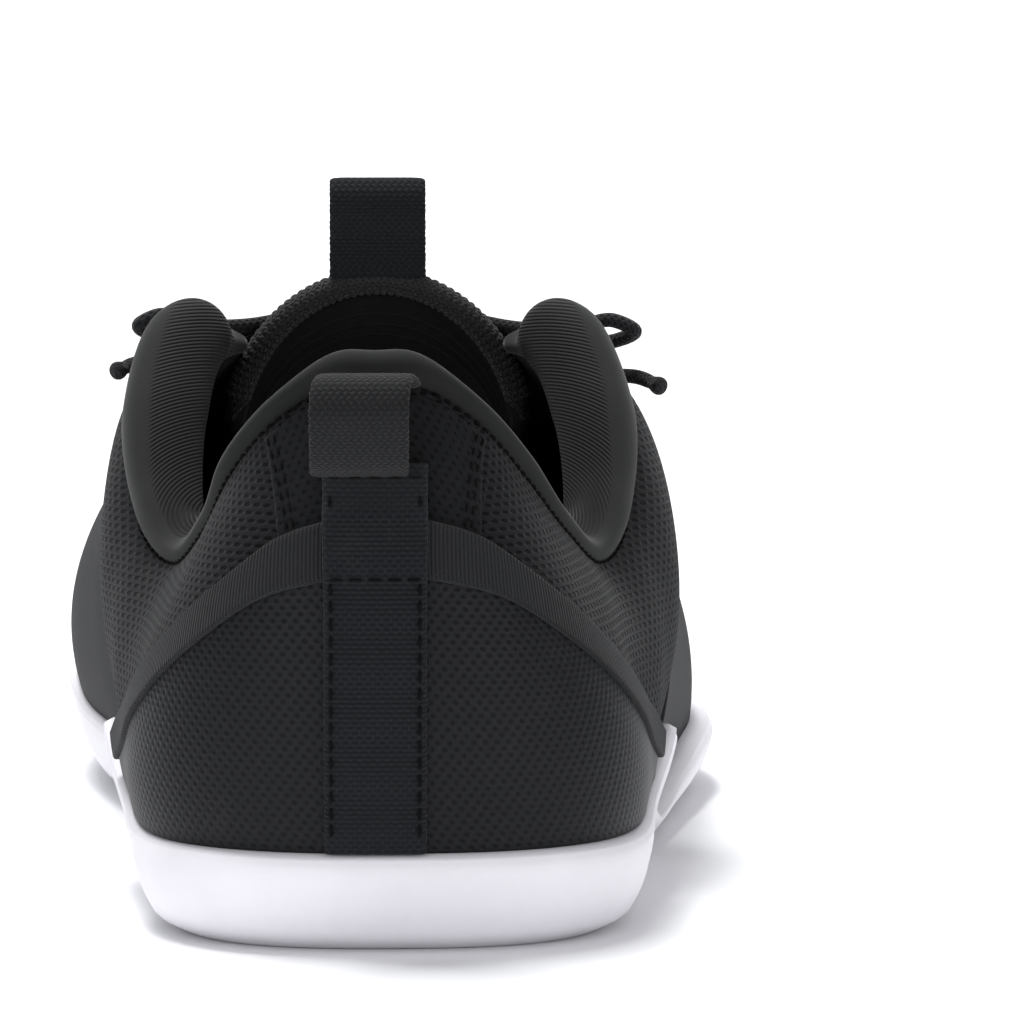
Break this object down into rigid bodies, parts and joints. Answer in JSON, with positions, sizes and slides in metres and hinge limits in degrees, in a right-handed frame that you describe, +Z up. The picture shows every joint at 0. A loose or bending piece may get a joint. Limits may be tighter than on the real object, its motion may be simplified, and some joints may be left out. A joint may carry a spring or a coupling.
{
  "type": "barefoot shoe",
  "caption": "Low black barefoot training shoe for the right foot: thin white cup sole with raised side wings, padded collar, webbing heel strap and pull loops, bootie tongue and laces",
  "frame": {"origin": "on the ground plane, in the middle of the shoe's length, on the line through the middle of the heel", "axes": "+Y from heel to toe, +X to the outer side of the right foot, +Z up"},
  "size_m": [0.1102, 0.2896, 0.1053],
  "materials": {
    "outsole": "matte off-white rubber",
    "insole": "brushed black cloth over foam",
    "upper": "black spacer mesh",
    "tongue": "black knit",
    "collar_pad": "black ribbed lining over foam",
    "heel_counter": "smooth black film on cloth, slight sheen",
    "heel_strap": "black ribbed webbing",
    "heel_strip": "black webbing",
    "heel_pull_loop": "black webbing",
    "tongue_pull_loop": "black webbing",
    "eyestay": "smooth black film on cloth",
    "toe_cap": "smooth black film on cloth",
    "side_panel_inner": "smooth black film on cloth",
    "side_panel_outer": "smooth black film on cloth",
    "lacing": "black braided lace",
    "lace_knot": "black braided lace",
    "bow_loop_inner": "black braided lace",
    "bow_loop_outer": "black braided lace",
    "lace_end_inner": "black braided lace",
    "lace_end_outer": "black braided lace",
    "tape_loop_inner_1": "black woven tape",
    "tape_loop_inner_2": "black woven tape",
    "tape_loop_inner_3": "black woven tape",
    "tape_loop_inner_4": "black woven tape",
    "tape_loop_inner_5": "black woven tape",
    "tape_loop_outer_1": "black woven tape",
    "tape_loop_outer_2": "black woven tape",
    "tape_loop_outer_3": "black woven tape",
    "tape_loop_outer_4": "black woven tape",
    "tape_loop_outer_5": "black woven tape"
  },
  "bodies": {
    "root": {"outsole": "outsole", "insole": "insole", "upper": "upper", "tongue": "tongue", "collar_pad": "collar_pad", "heel_counter": "heel_counter", "heel_strap": "heel_strap", "heel_strip": "heel_strip", "heel_pull_loop": "heel_pull_loop", "tongue_pull_loop": "tongue_pull_loop", "eyestay": "eyestay", "toe_cap": "toe_cap", "side_panel_inner": "side_panel_inner", "side_panel_outer": "side_panel_outer", "lacing": "lacing", "lace_knot": "lace_knot", "bow_loop_inner": "bow_loop_inner", "bow_loop_outer": "bow_loop_outer", "lace_end_inner": "lace_end_inner", "lace_end_outer": "lace_end_outer", "tape_loop_inner_1": "tape_loop_inner_1", "tape_loop_inner_2": "tape_loop_inner_2", "tape_loop_inner_3": "tape_loop_inner_3", "tape_loop_inner_4": "tape_loop_inner_4", "tape_loop_inner_5": "tape_loop_inner_5", "tape_loop_outer_1": "tape_loop_outer_1", "tape_loop_outer_2": "tape_loop_outer_2", "tape_loop_outer_3": "tape_loop_outer_3", "tape_loop_outer_4": "tape_loop_outer_4", "tape_loop_outer_5": "tape_loop_outer_5"}
  },
  "joints": []
}
